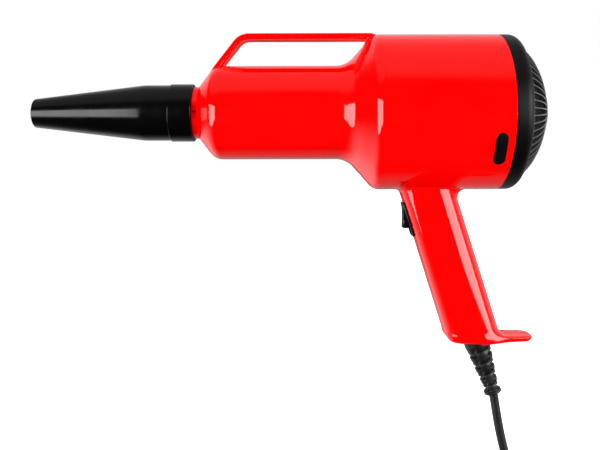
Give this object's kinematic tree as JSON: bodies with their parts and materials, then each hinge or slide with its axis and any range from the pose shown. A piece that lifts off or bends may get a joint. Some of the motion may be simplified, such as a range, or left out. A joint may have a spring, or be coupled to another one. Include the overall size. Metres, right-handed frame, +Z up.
{
  "type": "car dryer blower",
  "caption": "Hand-held flow-through air blower with a pistol grip, a carry bar, a slotted rear intake and a tapered push-on nozzle.",
  "frame": {"origin": "centre of the flat disc in the middle of the intake grille, on the motor axis", "axes": "+X points backwards out of the intake, -X along the nozzle, +Z up from the grip to the carry bar, +Y to the user's right; the shells part on the plane Y = 0"},
  "size_m": [0.4047, 0.1232, 0.3474],
  "materials": {
    "red_gloss_plastic": "glossy moulded plastic",
    "black_satin_plastic": "satin moulded plastic",
    "black_rubber": "soft moulded rubber",
    "grey_foam": "open-cell foam",
    "steel": "zinc-plated and turned steel",
    "aluminium": "cast and pressed aluminium",
    "laminated_steel": "stacked laminations",
    "copper": "enamelled copper wire and copper bars",
    "brass": "pressed brass",
    "carbon": "pressed carbon",
    "brown_insulation": "wire insulation",
    "blue_insulation": "wire insulation"
  },
  "bodies": {
    "body": {"housing_left": "red_gloss_plastic", "housing_right": "red_gloss_plastic", "housing_screw_1": "steel", "housing_screw_2": "steel", "housing_screw_3": "steel", "housing_screw_4": "steel", "housing_screw_5": "steel", "housing_screw_6": "steel", "fan_shroud": "steel", "shroud_gasket": "black_rubber", "diffuser_plate": "aluminium", "stator_core": "laminated_steel", "field_coil_left": "copper", "field_coil_right": "copper", "rear_bracket": "aluminium", "front_bracket": "aluminium", "motor_bolt_upper": "steel", "motor_bolt_lower": "steel", "rear_bearing": "steel", "front_bearing": "steel", "motor_mount_ring": "black_rubber", "brush_holder_left": "brass", "brush_holder_right": "brass", "carbon_brush_left": "carbon", "carbon_brush_right": "carbon", "brush_spring_left": "steel", "brush_spring_right": "steel", "switch_housing": "black_satin_plastic", "switch_pivot_pin": "steel", "switch_terminal_1": "brass", "switch_terminal_2": "brass", "cord_boot": "black_rubber", "power_cord": "black_rubber", "cord_clamp": "black_satin_plastic", "clamp_screw_1": "steel", "clamp_screw_2": "steel", "live_wire": "brown_insulation", "switched_wire": "brown_insulation", "neutral_wire": "blue_insulation"},
    "rotor": {"motor_shaft": "steel", "armature_core": "laminated_steel", "armature_winding": "copper", "commutator": "copper", "impeller_1": "aluminium", "impeller_spacer": "steel", "impeller_2": "aluminium", "fan_washer": "steel", "fan_nut": "steel"},
    "rocker": {"switch_rocker": "black_satin_plastic"},
    "button_left": {"latch_button_left": "black_satin_plastic"},
    "button_right": {"latch_button_right": "black_satin_plastic"},
    "cover": {"cover_ring": "black_satin_plastic", "intake_grille": "black_satin_plastic", "filter_foam": "grey_foam", "filter_retainer": "black_satin_plastic"},
    "nozzle": {"nozzle": "black_satin_plastic"}
  },
  "joints": [
    {"name": "rotor_spin", "type": "hinge", "parent": "body", "child": "rotor", "pos_m": [0, 0, 0], "axis": [1, 0, 0], "continuous": true},
    {"name": "switch_rock", "type": "hinge", "parent": "body", "child": "rocker", "pos_m": [-0.10119, 0, -0.08343], "axis": [0, -1, 0], "range_deg": [0, 34.6]},
    {"name": "button_left_press", "type": "slide", "parent": "body", "child": "button_left", "axis": [0, 0.8704, 0.4924], "range_m": [0, 0.002]},
    {"name": "button_right_press", "type": "slide", "parent": "body", "child": "button_right", "axis": [0, -0.8704, 0.4924], "range_m": [0, 0.002]},
    {"name": "cover_pull", "type": "slide", "parent": "body", "child": "cover", "axis": [1, 0, 0], "range_m": [0, 0.03]},
    {"name": "nozzle_pull", "type": "slide", "parent": "body", "child": "nozzle", "axis": [-1, 0, 0], "range_m": [0, 0.03]}
  ]
}
